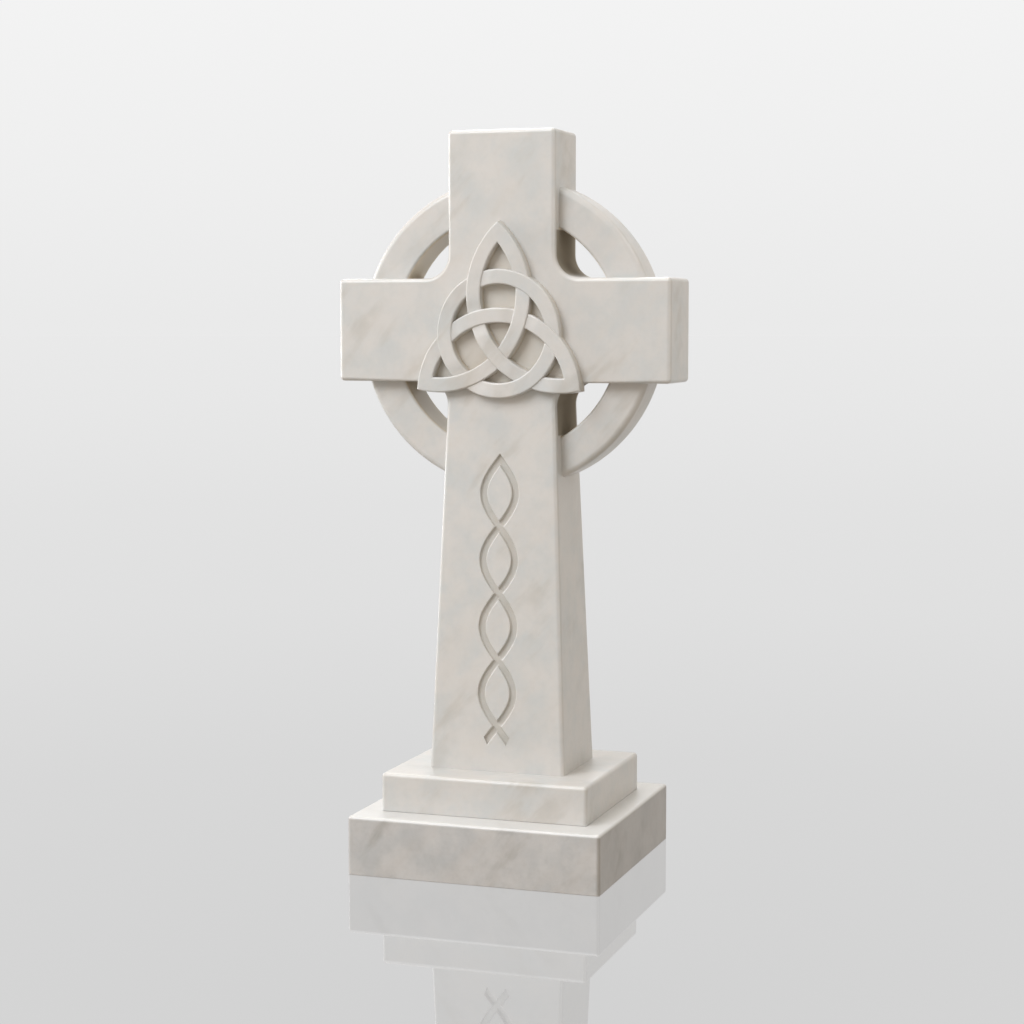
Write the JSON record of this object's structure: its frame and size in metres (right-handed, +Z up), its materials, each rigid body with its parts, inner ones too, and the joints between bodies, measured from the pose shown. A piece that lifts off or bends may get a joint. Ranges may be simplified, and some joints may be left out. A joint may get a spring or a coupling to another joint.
{
  "type": "celtic cross headstone",
  "caption": "Marble memorial cross with a set-back ring, a raised interlaced knot at the crossing and a cut twist on the shaft, standing on a step and a wide base.",
  "frame": {"origin": "middle of the base's underside, on the ground", "axes": "+Z up, the carved face looks along -Y, +X to the right of someone facing the carved face"},
  "size_m": [0.648, 0.466, 1.372],
  "materials": {
    "marble_white": "white marble, honed to a satin surface",
    "marble_grey": "pale grey veined marble, honed to a satin surface"
  },
  "bodies": {
    "root": {"base": "marble_grey", "upper_step": "marble_white", "cross": "marble_white"}
  },
  "joints": []
}
